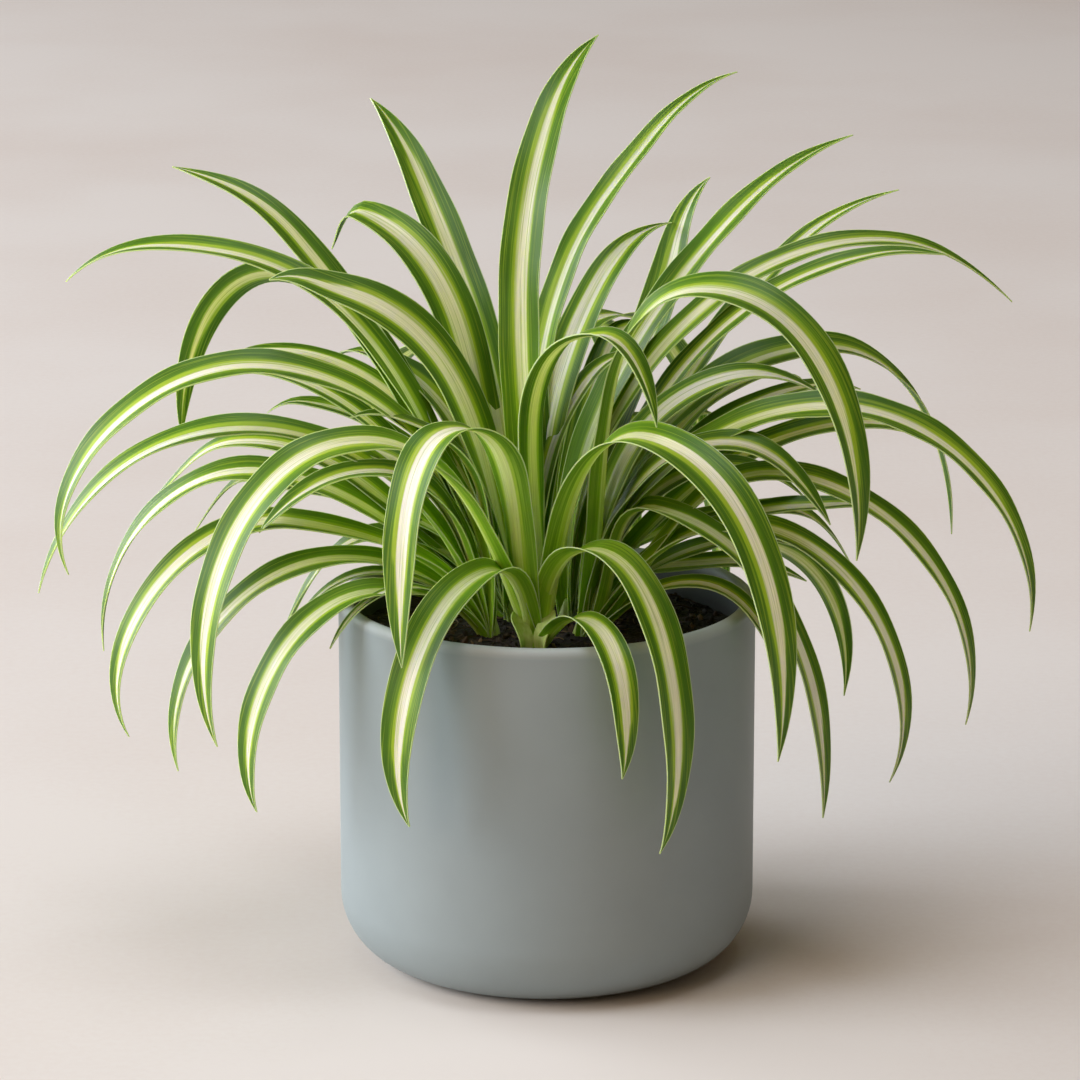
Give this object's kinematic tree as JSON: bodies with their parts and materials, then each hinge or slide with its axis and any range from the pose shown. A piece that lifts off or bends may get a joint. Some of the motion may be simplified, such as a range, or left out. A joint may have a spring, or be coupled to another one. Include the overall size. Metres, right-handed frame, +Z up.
{
  "type": "potted spider plant",
  "caption": "Variegated spider plant with long arching leaves, growing in soil in a plain round glazed pot with a rounded bottom edge.",
  "frame": {"origin": "centre of the pot's flat underside, on the surface that the pot stands on", "axes": "+Z up, -Y towards the side that the picture shows, +X to the right of that view"},
  "size_m": [0.4269, 0.2917, 0.3954],
  "materials": {
    "pot_glaze": "satin",
    "potting_soil": "matte",
    "leaf": "satin"
  },
  "bodies": {
    "root": {"pot": "pot_glaze", "soil": "potting_soil", "shoot_front": "leaf", "shoot_middle": "leaf", "shoot_left": "leaf", "shoot_right": "leaf", "shoot_back_left": "leaf", "shoot_back_right": "leaf", "shoot_back": "leaf"}
  },
  "joints": []
}
